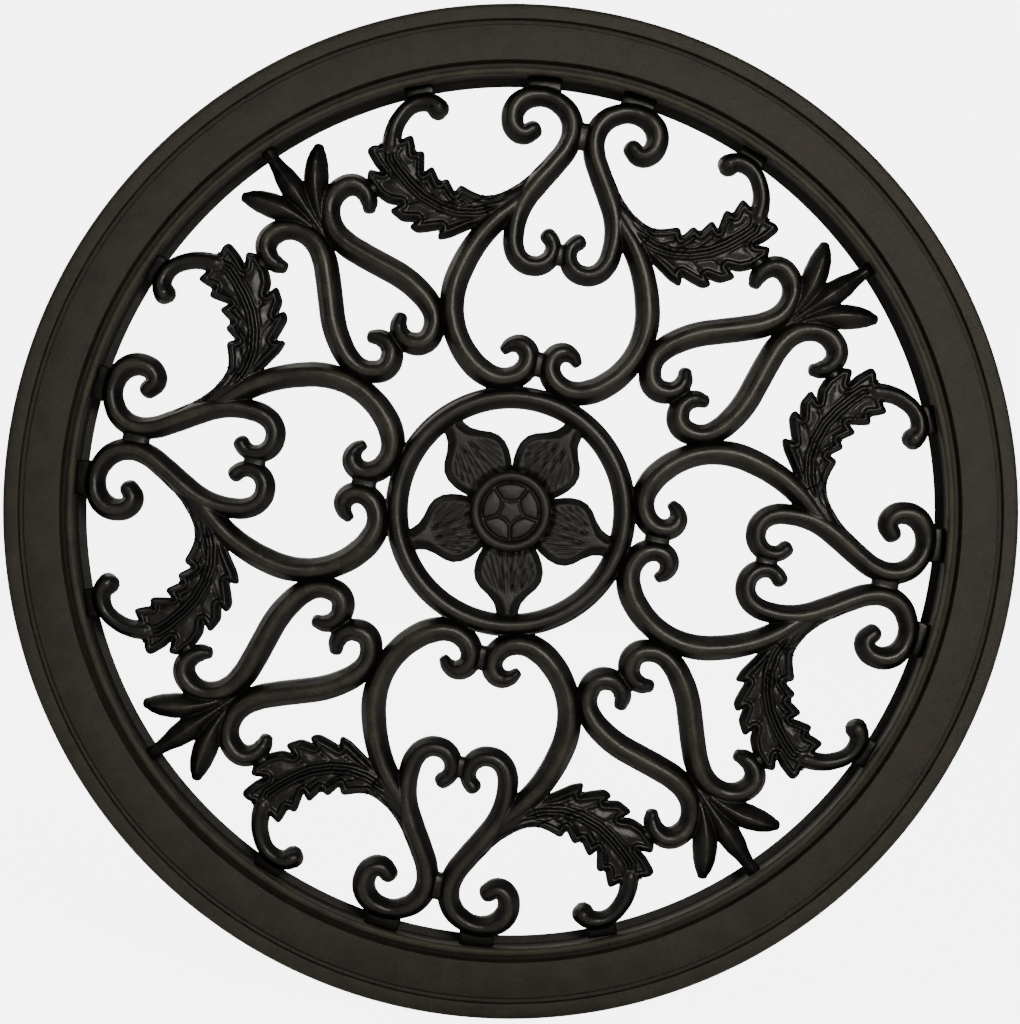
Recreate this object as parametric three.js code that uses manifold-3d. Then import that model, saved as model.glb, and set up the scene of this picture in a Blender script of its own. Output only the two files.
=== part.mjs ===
// Round openwork scroll panel: a moulded face ring with a sleeve behind it, four heart
// motifs and four teardrop motifs of curled bars with leaves and sprigs, and a
// five-petal flower in a small ring at the middle.
// Millimetres. +Z up, the face looks along -Y, the axis of the rings is Y.
import * as THREE from 'three';
import { mergeVertices } from 'three/addons/utils/BufferGeometryUtils.js';
import Module from 'manifold-3d';

const wasm = await Module();
wasm.setup();

// Driving dimensions

const OPENING_R = 239;       // radius of the hole that the scrollwork fills
const FLANGE_W = 39.5;       // face ring, from the opening out to the rim
const FLANGE_T = 6.5;        // face ring at its flat field
const SLEEVE_T = 4;          // wall of the sleeve behind the opening
const SLEEVE_L = 19;         // sleeve, from the seat to its rear end
const REBATE = 1;            // step in the ring's back that takes the sleeve's front end
const BEAD_W = 4.8;          // raised bead round the opening
const BEAD_H = 11;           // bead crown above the seat
const GROOVE_W = 2.6;        // sunk lines on either side of the field
const GROOVE_D = 2;          // how far they are sunk
const LIP_W = 8.1;           // plain strip along the rim
const LIP_H = 7;             // strip above the seat
const RIM_ROUND = 2;         // softened outer edge

const BAR_W = 11.6;          // scroll bar at its widest
const BAR_D = 9;             // scroll bar from its flat back to its crown
const BAR_BACK = 1;          // flat backs of the scrollwork behind the seat plane
const WELD_D = 5.5;          // short webs where bars meet
const LEAF_D = 6.5;          // leaf plate
const LEAF_EDGE = 1.2;       // its chamfered edge
const HUB_R = 62.8;          // middle of the small ring's bar
const HUB_BAR_W = 11.6;      // bar of the small ring
const BOSS_R = 22.5;         // round boss of the flower
const BOSS_D = 8;            // boss at its rim
const BOSS_DISH_R = 16.4;    // sunk middle of the boss
const BOSS_DISH = 2.5;       // how far it is sunk
const PETAL_D = 6;           // petal plate
const PETAL_EDGE = 2;        // its chamfered edge
const FIT = 0.3;             // air between neighbouring castings

const MOTIFS = 4;
const PETALS = 5;
const SCROLL_LEAN = -11;     // degrees the first heart leans from upright
const PETAL_LEAN = -178;     // degrees the first petal leans from upright

// The scrollwork is drawn between a small ring with an outside radius of 68.6 mm and an
// opening of 239 mm, the petals between a 22.5 mm boss and the inside of that ring.
// Both follow along their radius when those sizes change.
// u is across a heart motif, v is out along it.
// The third value is the bar's width there, as a share of BAR_W.
const DRAWN_HUB_OUTSIDE = 68.6;
const DRAWN_OPENING = 239;
const DRAWN_BOSS = 22.5;
const DRAWN_HUB_INSIDE = 57;
const HUB_OUTSIDE = HUB_R + HUB_BAR_W / 2;
const HUB_INSIDE = HUB_R - HUB_BAR_W / 2;

// A drawn place moved in or out so that what lay between two radii fills two others.
function refit([u, v], drawnInner, drawnOuter, inner, outer) {
  const r = Math.hypot(u, v);
  const along = (r - drawnInner) / (drawnOuter - drawnInner);
  const k = (inner + along * (outer - inner)) / r;
  return [u * k, v * k];
}

const scrollPlace = (p) => refit(p, DRAWN_HUB_OUTSIDE, DRAWN_OPENING, HUB_OUTSIDE, OPENING_R);
const petalPlace = (p) => refit(p, DRAWN_BOSS, DRAWN_HUB_INSIDE, BOSS_R, HUB_INSIDE);

const HEART_SCROLL = [
  [28.0, 208.2, 0.62], [32.6, 205.2, 0.76], [37.8, 207.2, 0.84], [40.4, 213.0, 0.88],
  [39.5, 219.4, 0.90], [35.5, 224.3, 0.86], [29.5, 226.9, 0.76], [23.0, 227.4, 0.73],
  [16.0, 225.3, 0.79], [10.3, 220.2, 0.84], [7.2, 212.0, 0.86], [8.2, 202.5, 0.86],
  [13.0, 191.5, 0.88], [20.0, 180.0, 0.92], [25.2, 169.5, 0.88], [27.4, 160.0, 0.83],
  [27.5, 151.0, 0.80], [26.0, 143.0, 0.80], [21.5, 137.0, 0.78], [14.5, 134.9, 0.77],
  [7.8, 137.6, 0.72], [4.7, 144.2, 0.60], [5.8, 149.6, 0.50], [8.4, 152.4, 0.48],
];
const HEART_ARM = [
  [21.0, 178.0, 0.60], [30.0, 165.5, 0.80], [38.5, 155.5, 0.90], [44.0, 147.0, 0.92],
  [48.3, 138.0, 0.95], [51.8, 127.5, 0.99], [53.9, 116.5, 1.00], [53.5, 106.0, 0.97],
  [51.2, 97.0, 0.95], [46.4, 87.5, 0.96], [39.0, 78.8, 1.00], [30.4, 72.8, 1.00],
  [21.0, 70.4, 0.93], [13.0, 72.4, 0.90], [7.6, 77.2, 0.90], [6.0, 83.6, 0.83],
  [8.0, 89.0, 0.83], [12.6, 91.1, 0.72], [17.2, 89.9, 0.45], [20.3, 86.8, 0.12],
];
const TEARDROP = [
  [79.9, 93.2, 0.28], [80.1, 88.6, 0.57], [77.3, 83.2, 0.76], [70.7, 80.4, 0.90],
  [64.0, 82.6, 0.92], [60.8, 89.5, 0.88], [61.5, 97.0, 0.86], [65.6, 103.6, 0.92],
  [73.0, 109.8, 0.97], [83.0, 115.3, 1.00], [95.0, 119.4, 1.01], [107.0, 123.3, 1.01],
  [117.5, 127.6, 1.00], [125.3, 134.0, 0.92], [128.9, 142.0, 0.80], [129.2, 149.0, 0.80],
  [126.2, 155.8, 0.87], [119.0, 160.0, 0.86], [112.1, 157.4, 0.76], [108.9, 152.3, 0.64],
  [108.2, 148.8, 0.44],
];
const LEAF_CURL = [
  [102.6, 184.0, 0.78], [103.0, 194.0, 0.64], [100.6, 202.0, 0.60], [96.4, 208.2, 0.58],
  [90.6, 211.4, 0.60], [85.0, 212.0, 0.70], [81.3, 210.3, 0.90],
];
const SPRIG_SIDE = [
  [126.5, 128.0, 0.18], [131.5, 135.5, 0.45], [136.0, 145.0, 0.76], [138.8, 154.0, 0.97],
  [140.2, 161.0, 0.98], [141.2, 168.0, 0.80], [141.7, 173.0, 0.50], [141.9, 177.0, 0.12],
];
const SPRIG_MIDDLE = [
  [125.6, 125.6, 0.16], [138.0, 138.0, 0.60], [150.8, 150.8, 1.02], [157.0, 157.0, 0.86],
  [161.5, 161.5, 0.62], [164.0, 164.0, 0.45], [170.5, 170.5, 0.60],
];
const LEAF_OUTLINE = [
  [30, 168], [38, 159], [48, 151.5], [57, 145.4], [62, 141.9], [67.8, 139.6], [67.2, 145.5],
  [74, 143.1], [80, 141.2], [84.1, 143.0], [81.0, 147.1], [89, 145.8], [96.4, 149.7],
  [91.2, 154.2], [98, 153.9], [104.4, 156.6], [111.6, 163.4], [112.0, 169.2], [104.0, 168.8],
  [109.0, 173.0], [114.9, 179.8], [113.2, 182.1], [107.7, 183.6], [107.2, 188.4],
  [97.8, 188.4], [92.6, 192.4], [90.3, 186.5], [89.5, 183.1], [84.8, 184.9], [83.6, 178.0],
  [82.6, 172.7], [78.4, 177.6], [75.0, 172.6], [72.8, 169.6], [69.0, 172.5], [66.0, 168.3],
  [63.3, 165.4], [61.3, 170.4], [54, 167.8], [48, 166.7], [41, 168.8], [33, 174.2],
  [26, 181.5],
];

// Shapes

const material = (color) => new THREE.MeshStandardMaterial({ color, roughness: 0.5, metalness: 0.15 });
const rad = THREE.MathUtils.degToRad;

function solid(geometry) {
  const g = geometry.clone();
  g.deleteAttribute('normal');
  g.deleteAttribute('uv');
  const m = mergeVertices(g, 1e-4);
  const mesh = new wasm.Mesh({
    numProp: 3,
    vertProperties: new Float32Array(m.attributes.position.array),
    triVerts: new Uint32Array(m.index.array),
  });
  return new wasm.Manifold(mesh);
}

function geometryOf(manifold) {
  const mesh = manifold.getMesh();
  const g = new THREE.BufferGeometry();
  g.setAttribute('position', new THREE.BufferAttribute(new Float32Array(mesh.vertProperties), 3));
  g.setIndex(new THREE.BufferAttribute(new Uint32Array(mesh.triVerts), 1));
  g.computeVertexNormals();
  return g;
}

// The biggest body of a cut, without slivers cut loose beside it.
function mainBody(manifold) {
  const bodies = manifold.decompose();
  return bodies.sort((a, b) => b.volume() - a.volume())[0];
}

// Closed skin over a row of equal rings of points.
function skin(rings) {
  const n = rings[0].length;
  const position = rings.flat().flatMap((p) => [p.x, p.y, p.z]);
  const index = [];
  for (let i = 0; i + 1 < rings.length; i++) {
    for (let j = 0; j < n; j++) {
      const a = i * n + j;
      const b = i * n + ((j + 1) % n);
      index.push(a, b + n, b, a, a + n, b + n);
    }
  }
  const last = (rings.length - 1) * n;
  for (let j = 1; j + 1 < n; j++) {
    index.push(0, j, j + 1);
    index.push(last, last + j + 1, last + j);
  }
  const g = new THREE.BufferGeometry();
  g.setAttribute('position', new THREE.Float32BufferAttribute(position, 3));
  g.setIndex(index);
  return g;
}

const HALF_ROUND = [[-0.5, 0], [-0.5, 0.4], [-0.2, 1], [0.2, 1], [0.5, 0.4], [0.5, 0]];
const SQUARE = [[-0.5, 0], [-0.5, 1], [0.5, 1], [0.5, 0]];
const STEP_TURN = rad(28);

// Places along a bar's centre line: more where it curls.
function stations(points) {
  const knots = points.map(([u, v, share]) => new THREE.Vector3(...scrollPlace([u, v]), share));
  const curve = new THREE.CatmullRomCurve3(knots, false, 'centripetal');
  const spans = points.length - 1;
  const heading = (t) => {
    const d = curve.getTangent(t);
    return new THREE.Vector2(d.x, d.y).normalize();
  };
  const out = [];
  for (let i = 0; i < spans; i++) {
    const turn = Math.acos(Math.min(1, heading(i / spans).dot(heading((i + 1) / spans))));
    const pieces = Math.max(1, Math.ceil(turn / STEP_TURN));
    for (let j = 0; j < pieces; j++) {
      const t = (i + j / pieces) / spans;
      out.push({ at: curve.getPoint(t), along: heading(t) });
    }
  }
  out.push({ at: curve.getPoint(1), along: heading(1) });
  return out;
}

// A bar swept along its centre line, with rounded ends and a flat back.
// grow makes it larger all round, to cut its neighbours with.
function bar(points, { section = HALF_ROUND, width = BAR_W, depth = BAR_D, grow = 0, round = true } = {}) {
  const line = stations(points);
  const rows = line.map(({ at, along }) => ({ x: at.x, z: at.y, along, w: width * at.z }));
  if (round) {
    for (const end of [0, 1]) {
      const tip = end ? rows[rows.length - 1] : rows[0];
      const way = end ? 1 : -1;
      for (const turn of [40, 75]) {
        const out = (way * Math.sin(rad(turn)) * tip.w) / 2;
        const row = {
          x: tip.x + tip.along.x * out,
          z: tip.z + tip.along.y * out,
          along: tip.along,
          w: tip.w * Math.cos(rad(turn)),
        };
        if (end) rows.push(row);
        else rows.unshift(row);
      }
    }
  }
  const rings = rows.map(({ x, z, along, w }) => {
    const high = section === SQUARE ? depth : depth * (0.35 + 0.65 * Math.min(1, (1.25 * w) / width));
    return section.map(([across, up]) => {
      const off = across * (w + 2 * grow);
      const y = BAR_BACK + grow - up * (high + 2 * grow);
      return new THREE.Vector3(x - along.y * off, y, z + along.x * off);
    });
  });
  return solid(skin(rings));
}

// A short web from one place to another, between bars that meet.
function weld(from, to, width, grow = 0) {
  const share = width / BAR_W;
  const line = [[...from, share], [...to, share]];
  return bar(line, { section: SQUARE, depth: WELD_D, grow, round: false });
}

// Everything within a radius, over the whole depth.
function disc(radius, sides) {
  const g = new THREE.CylinderGeometry(radius, radius, 200, sides);
  return solid(g);
}

// Everything to the right of a line through the axis that is turned by an angle.
function rightOf(degrees, air) {
  const g = new THREE.BoxGeometry(2000, 200, 2000);
  g.translate(1000 + air, 0, 0);
  g.rotateY(rad(degrees));
  return solid(g);
}

// A flat plate from an outline, its front edge chamfered.
function plate(outline, depth, edge) {
  const shape = new THREE.Shape(outline.map(([u, v]) => new THREE.Vector2(u, v)));
  const g = new THREE.ExtrudeGeometry(shape, {
    depth: depth - edge + 4,
    bevelEnabled: true,
    bevelThickness: edge,
    bevelSize: edge,
    bevelOffset: -edge,
    bevelSegments: 1,
    curveSegments: 6,
  });
  g.rotateX(rad(90));
  const raw = solid(g);
  const box = raw.boundingBox();
  const front = raw.translate([0, BAR_BACK - depth - box.min[1], 0]);
  return front.trimByPlane([0, -1, 0], -BAR_BACK);
}

const RING_SIDES = 72;
const HUB_SIDES = 40;

function lathe(profile, sides) {
  const points = profile.map(([r, h]) => new THREE.Vector2(r, h));
  points.push(points[0].clone());
  const g = new THREE.LatheGeometry(points, sides);
  return mergeVertices(g.toNonIndexed(), 1e-4);
}

// Heights are measured out from the seat plane towards the face.
function faceRing() {
  const rim = OPENING_R + FLANGE_W;
  const lip = rim - LIP_W;
  const bead = OPENING_R + BEAD_W;
  const profile = [
    [OPENING_R, REBATE],
    [OPENING_R + SLEEVE_T + FIT, REBATE],
    [OPENING_R + SLEEVE_T + FIT, 0],
    [rim, 0],
    [rim, LIP_H - RIM_ROUND],
    [rim - RIM_ROUND, LIP_H],
    [lip, LIP_H],
    [lip - 0.6, FLANGE_T - GROOVE_D],
    [lip - GROOVE_W, FLANGE_T - GROOVE_D],
    [lip - GROOVE_W - 0.6, FLANGE_T],
    [bead + GROOVE_W + 0.6, FLANGE_T],
    [bead + GROOVE_W, FLANGE_T - GROOVE_D],
    [bead + 0.4, FLANGE_T - GROOVE_D],
    [bead - BEAD_W * 0.08, BEAD_H - BEAD_W * 0.35],
    [bead - BEAD_W * 0.3, BEAD_H],
    [bead - BEAD_W * 0.7, BEAD_H],
    [OPENING_R, BEAD_H - BEAD_W * 0.45],
  ];
  return lathe(profile, RING_SIDES);
}

function rearSleeve() {
  const outside = OPENING_R + SLEEVE_T;
  const profile = [
    [OPENING_R, -SLEEVE_L],
    [outside, -SLEEVE_L],
    [outside, REBATE - FIT],
    [OPENING_R, REBATE - FIT],
  ];
  return lathe(profile, RING_SIDES);
}

function hubRing() {
  const profile = HALF_ROUND.map(([across, up]) => [
    HUB_R + across * HUB_BAR_W,
    BAR_D * up - BAR_BACK,
  ]);
  return lathe(profile.reverse(), HUB_SIDES);
}

function bossGeometry() {
  const back = -BAR_BACK;
  const face = BOSS_D - BAR_BACK;
  const profile = [
    [0, back],
    [BOSS_R, back],
    [BOSS_R, face - 2],
    [BOSS_R - 2, face],
    [BOSS_DISH_R + 1, face],
    [BOSS_DISH_R, face - BOSS_DISH],
    [0, face - BOSS_DISH],
  ];
  return lathe(profile, HUB_SIDES);
}

// Half of a petal's outline, from beside the boss to where it joins the small ring.
const PETAL_HALF = [
  [14.0, 19.0], [16.6, 23.0], [18.4, 28.5], [19.3, 33.5], [18.3, 38.5], [15.6, 42.5],
  [11.2, 46.4], [7.7, 50.6], [6.0, 55.0], [6.0, 62.0],
];

function petalGeometry() {
  const half = PETAL_HALF.map(petalPlace);
  const left = half.map(([u, v]) => [-u, v]).reverse();
  const wedge = 360 / PETALS / 2;
  const body = plate([...half, ...left], PETAL_D, PETAL_EDGE)
    .subtract(disc(BOSS_R + FIT, HUB_SIDES))
    .intersect(disc(HUB_INSIDE - FIT, HUB_SIDES))
    .intersect(rightOf(wedge - 180, FIT / 2))
    .intersect(rightOf(-wedge, FIT / 2));
  return geometryOf(mainBody(body));
}

// Half a heart: everything between the heart's axis and the teardrop's axis.
function wedgePieces() {
  const ring = disc(OPENING_R - FIT, RING_SIDES);
  const hub = disc(HUB_OUTSIDE + FIT, HUB_SIDES);
  const heartSide = rightOf(0, FIT / 2);
  const dropSide = rightOf(-135, FIT / 2);

  const scroll = bar(HEART_SCROLL)
    .add(weld([8, 210.8], [-2, 210.8], 11.6))
    .add(weld([5, 143.6], [-2, 143.6], 9.6))
    .add(weld([25, 227], [27.5, 246], 20))
    .intersect(ring)
    .intersect(heartSide);
  const scrollCut = bar(HEART_SCROLL, { grow: FIT });

  const arm = bar(HEART_ARM)
    .add(weld([7, 82.2], [-2, 82.2], 10.5))
    .add(weld([18.9, 72], [16.2, 62], 17))
    .subtract(scrollCut)
    .subtract(hub)
    .intersect(heartSide);
  const armCut = bar(HEART_ARM, { grow: FIT });

  const drop = bar(TEARDROP)
    .add(weld([61.5, 97], [53, 99.3], 17))
    .add(weld([75.5, 83.5], [82, 77], 11))
    .subtract(armCut)
    .intersect(dropSide);
  const dropCut = bar(TEARDROP, { grow: FIT });

  const curl = bar(LEAF_CURL)
    .add(weld([90.5, 211], [96, 224], 19))
    .intersect(ring);
  const curlCut = bar(LEAF_CURL, { grow: FIT });

  const leafOutline = LEAF_OUTLINE.map(scrollPlace);
  const leaf = plate(leafOutline, LEAF_D, LEAF_EDGE)
    .add(weld([103, 163.5], [112.1, 157.4], 4))
    .subtract(scrollCut)
    .subtract(armCut)
    .subtract(dropCut)
    .subtract(curlCut);

  return { scroll, arm, drop, curl, leaf, dropCut, ring };
}

function mirrored(manifold) {
  return manifold.mirror([1, 0, 0]);
}

function turned(manifold, degrees) {
  return manifold.rotate([0, degrees, 0]);
}

function sprigBody(dropCut, ring) {
  const otherSide = (points) => points.map(([u, v, share]) => [v, u, share]);
  const mirrorCut = turned(mirrored(turned(dropCut, -45)), 45);
  return bar(SPRIG_MIDDLE, { depth: BAR_D - 1 })
    .add(bar(SPRIG_SIDE, { depth: BAR_D - 1 }))
    .add(bar(otherSide(SPRIG_SIDE), { depth: BAR_D - 1 }))
    .intersect(ring)
    .subtract(dropCut)
    .subtract(mirrorCut);
}

// Assembly

const group = new THREE.Group();
group.name = 'round_scroll_panel';

// The origin is at the middle of the whole depth, on the axis.
const panel = new THREE.Group();
panel.position.y = (BEAD_H - SLEEVE_L) / 2;
group.add(panel);
const scrollwork = new THREE.Group();
scrollwork.rotation.y = rad(-SCROLL_LEAN);
panel.add(scrollwork);

function place(parent, name, geometry, color) {
  const mesh = new THREE.Mesh(geometry, material(color));
  mesh.name = name;
  parent.add(mesh);
  return mesh;
}

const lay = (geometry) => geometry.rotateX(rad(180));

place(scrollwork, 'face_ring', lay(faceRing()), 0x2c2a26);
place(scrollwork, 'rear_sleeve', lay(rearSleeve()), 0x2c2a26);
place(scrollwork, 'hub_ring', lay(hubRing()), 0x24221e);

const wedge = wedgePieces();
const kinds = {
  heart_scroll: wedge.scroll,
  heart_arm: wedge.arm,
  teardrop_bar: wedge.drop,
  leaf: wedge.leaf,
  leaf_curl: wedge.curl,
};
for (let i = 0; i < MOTIFS; i++) {
  const around = (360 / MOTIFS) * i;
  for (const [kind, body] of Object.entries(kinds)) {
    const right = mainBody(body);
    for (const side of ['right', 'left']) {
      const g = geometryOf(side === 'right' ? right : mirrored(right));
      g.rotateY(rad(around));
      place(scrollwork, `${kind}_${i + 1}_${side}`, g, 0x24221e);
    }
  }
  const sprig = geometryOf(mainBody(sprigBody(wedge.dropCut, wedge.ring)));
  sprig.rotateY(rad(around));
  place(scrollwork, `sprig_${i + 1}`, sprig, 0x24221e);
}

place(panel, 'flower_boss', lay(bossGeometry()), 0x24221e);
for (let i = 0; i < PETALS; i++) {
  const petal = petalGeometry();
  petal.rotateY(rad((360 / PETALS) * i + PETAL_LEAN));
  place(panel, `petal_${i + 1}`, petal, 0x24221e);
}

export default group;
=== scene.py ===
# %% [markdown]
# # Round openwork scroll panel
# The object is a round cast panel: a moulded face ring with a short sleeve behind it,
# four hearts and four teardrops of curled bars with leaves and sprigs inside it, and a
# flower in a small ring at the middle. This file gives the plain CAD solids their
# castings' look. Everything is in metres, the face looks along -Y and Z is up.

# %% Load the frame
import math
import bpy
import numpy as np
from mathutils import Matrix, Vector


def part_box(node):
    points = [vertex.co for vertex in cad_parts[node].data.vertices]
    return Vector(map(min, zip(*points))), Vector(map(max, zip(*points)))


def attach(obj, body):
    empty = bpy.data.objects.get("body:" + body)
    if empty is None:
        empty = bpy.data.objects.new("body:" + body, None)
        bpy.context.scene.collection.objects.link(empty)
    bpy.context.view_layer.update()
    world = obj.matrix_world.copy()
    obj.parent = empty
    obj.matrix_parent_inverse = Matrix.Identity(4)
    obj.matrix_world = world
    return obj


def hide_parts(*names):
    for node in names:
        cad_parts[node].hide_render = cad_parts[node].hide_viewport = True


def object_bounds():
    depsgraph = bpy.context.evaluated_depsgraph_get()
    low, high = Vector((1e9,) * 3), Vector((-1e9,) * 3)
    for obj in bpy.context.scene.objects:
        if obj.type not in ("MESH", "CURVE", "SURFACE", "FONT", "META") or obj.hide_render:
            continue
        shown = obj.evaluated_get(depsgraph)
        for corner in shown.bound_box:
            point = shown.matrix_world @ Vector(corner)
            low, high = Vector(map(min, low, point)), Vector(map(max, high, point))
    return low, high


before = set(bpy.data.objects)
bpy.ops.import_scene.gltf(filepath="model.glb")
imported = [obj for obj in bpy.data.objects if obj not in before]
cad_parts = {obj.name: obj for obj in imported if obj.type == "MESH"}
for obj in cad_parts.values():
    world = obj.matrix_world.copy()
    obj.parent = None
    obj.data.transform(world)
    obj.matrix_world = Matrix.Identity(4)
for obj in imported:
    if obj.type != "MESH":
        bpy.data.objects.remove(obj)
box_of_cad = [list(corner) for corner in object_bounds()]
print("CAD box in mm:", [[round(v * 1000, 1) for v in corner] for corner in box_of_cad])

# %% [markdown]
# ## Where the castings lie
# The solids of the frame give every depth: the seat of the ring, the flat back of the
# scrollwork and the crown of its bars. Reading them here keeps the pieces in the frame
# if a depth changes later.

# %% Depths and radii
MM = 0.001
SEAT_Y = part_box("face_ring")[1][1]
BEAD_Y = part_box("face_ring")[0][1]
RIM_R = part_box("face_ring")[1][0]
BACK_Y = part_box("hub_ring")[1][1]
CROWN_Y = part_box("hub_ring")[0][1]
BAR_H = BACK_Y - CROWN_Y
OPENING_R = 239 * MM
BAR_W = 11.6 * MM
HUB_R = 62.8 * MM
BOSS_R = 22.5 * MM
SCROLL_LEAN = math.radians(11)
MOTIFS = 4
PETALS = 5
WELD = 0.001 * MM
print("bars", round(BAR_H / MM, 2), "mm high, backs at y", round(BACK_Y / MM, 2))

# %% [markdown]
# ## Helpers for a drawing made flat
# The whole scrollwork is drawn flat, as a pattern maker cuts it: u across, v up, and the
# height above the back towards the face. A drawing is made on the floor plane, where
# Blender's flat curves live, and is stood up at the end with one quarter turn.

# %% Helpers
def only(*objects):
    bpy.ops.object.select_all(action="DESELECT")
    for one in objects:
        one.select_set(True)
    bpy.context.view_layer.objects.active = objects[0]


def apply_modifier(piece, kind, **settings):
    only(piece)
    modifier = piece.modifiers.new(kind.title(), kind)
    for key, value in settings.items():
        setattr(modifier, key, value)
    bpy.ops.object.modifier_apply(modifier=modifier.name)


def join(name, pieces):
    only(*pieces)
    bpy.ops.object.join()
    piece = bpy.context.object
    piece.name = name
    piece.data.name = name
    return piece


def points_of(piece):
    flat = np.empty(len(piece.data.vertices) * 3)
    piece.data.vertices.foreach_get("co", flat)
    return flat.reshape(-1, 3)


def put_points(piece, points):
    piece.data.vertices.foreach_set("co", np.ascontiguousarray(points).ravel())
    piece.data.update()


def stand_up(piece):
    """From the flat drawing to the frame: heights go towards the face, at -Y."""
    points = points_of(piece)
    stood = np.column_stack([points[:, 0], BACK_Y - points[:, 2], points[:, 1]])
    put_points(piece, stood)


def smooth_by_angle(piece, degrees):
    only(piece)
    bpy.ops.object.shade_smooth_by_angle(angle=math.radians(degrees))


def triangles(piece):
    return sum(len(face.vertices) - 2 for face in piece.data.polygons)


# %% [markdown]
# ## The moulded bars
# A scroll bar is cast with a flat back, short upright walls, broad sloping flanks and a
# rounded crown. It could be extruded step by step, but a curve with a bevel object is
# how a moulding is swept in Blender: automatic handles keep the line fair, and the
# radius of each control point narrows the section towards the curls. A few extra points
# past each end shrink the section to nothing on a quarter circle, which leaves a round
# tip. EXTRA_W is added to each bar's width and was found by trial. The section grows
# both ways with it. With the coat on its sides, a finished bar measures 2.4 mm wider and
# 1.3 to 1.6 mm higher than the frame's solid where the bars are broad.

# %% The bars' sections
# Half of each section: how far across and how high, as shares of width and height.
MOULDED = [(0.5, 0.0), (0.5, 0.21), (0.485, 0.32), (0.44, 0.44), (0.36, 0.59),
           (0.285, 0.74), (0.235, 0.84), (0.175, 0.92), (0.09, 0.98), (0.0, 1.0)]
RIDGED = [(0.5, 0.0), (0.5, 0.22), (0.46, 0.36), (0.36, 0.53), (0.24, 0.69), (0.12, 0.83),
          (0.04, 0.93), (0.0, 0.95)]


def section_curve(name, half):
    """A section one bar width wide, its base on the line that the bar follows."""
    whole = half + [(-across, up) for across, up in reversed(half[:-1])]
    bpy.ops.object.select_all(action="DESELECT")
    bpy.ops.curve.primitive_nurbs_path_add(location=(0, 0, 0))
    drawing = bpy.context.object
    drawing.name = name
    drawing.data.dimensions = "2D"
    drawing.data.splines.clear()
    line = drawing.data.splines.new("POLY")
    line.points.add(len(whole) - 1)
    for point, (across, up) in zip(line.points, whole):
        point.co = (across, up * (BAR_H / BAR_W), 0, 1)
    line.use_cyclic_u = True
    return drawing


moulded_section = section_curve("moulded_section", MOULDED)
ridged_section = section_curve("ridged_section", RIDGED)
print("sections:", len(MOULDED), "and", len(RIDGED), "points to a half")

# %% Sweeping a bar
EXTRA_W = 1.7 * MM
TIP_SHARE = 0.1
CAP_TURNS = (32, 58, 76, 89)
BAR_STEPS = 10
NECK_STEPS = 4


def rounded_ends(points):
    """Extra control points beyond both ends, narrowing on a quarter circle."""
    out = list(points)
    for end, other in ((0, 1), (-1, -2)):
        tip, inner = Vector(points[end][:2]), Vector(points[other][:2])
        share = points[end][2]
        way = (tip - inner).normalized()
        reach = share * BAR_W / MM / 2
        cap = []
        for turn in CAP_TURNS:
            place = tip + way * reach * math.sin(math.radians(turn))
            cap.append((place.x, place.y, share * math.cos(math.radians(turn))))
        out = list(reversed(cap)) + out if end == 0 else out + cap
    return out


def swept_bar(name, points, section=moulded_section, steps=BAR_STEPS, round_tips=True):
    """A bar along control points in mm, whose third value is its share of full width."""
    bpy.ops.object.select_all(action="DESELECT")
    bpy.ops.curve.primitive_bezier_curve_add(location=(0, 0, 0))
    bar = bpy.context.object
    bar.name = name
    bar.data.dimensions = "2D"
    bar.data.fill_mode = "NONE"
    bar.data.bevel_mode = "OBJECT"
    bar.data.bevel_object = section
    bar.data.use_fill_caps = True
    bar.data.resolution_u = steps
    knots = rounded_ends(points) if round_tips else points
    line = bar.data.splines[0]
    line.bezier_points.add(len(knots) - 2)
    for knot, (u, v, share) in zip(line.bezier_points, knots):
        knot.co = (u * MM, v * MM, 0)
        knot.handle_left_type = "AUTO"
        knot.handle_right_type = "AUTO"
        knot.radius = share * BAR_W + (EXTRA_W if share > TIP_SHARE else 0)
    only(bar)
    bpy.ops.object.convert(target="MESH")
    bar = bpy.context.object
    bpy.ops.object.mode_set(mode="EDIT")
    bpy.ops.mesh.select_all(action="SELECT")
    bpy.ops.mesh.remove_doubles(threshold=WELD)
    bpy.ops.mesh.normals_make_consistent(inside=False)
    bpy.ops.object.mode_set(mode="OBJECT")
    return bar


# %% [markdown]
# ## The lines of a heart and a teardrop
# Each motif is symmetric, so only its right half is drawn: the heart's scroll with its
# two curls, the arm that leaves it and rolls up on the small ring, the teardrop's bar,
# and the little curl at the leaf's tip. The teardrop is turned an eighth of a turn, so
# that it too can be mirrored straight across.

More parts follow.
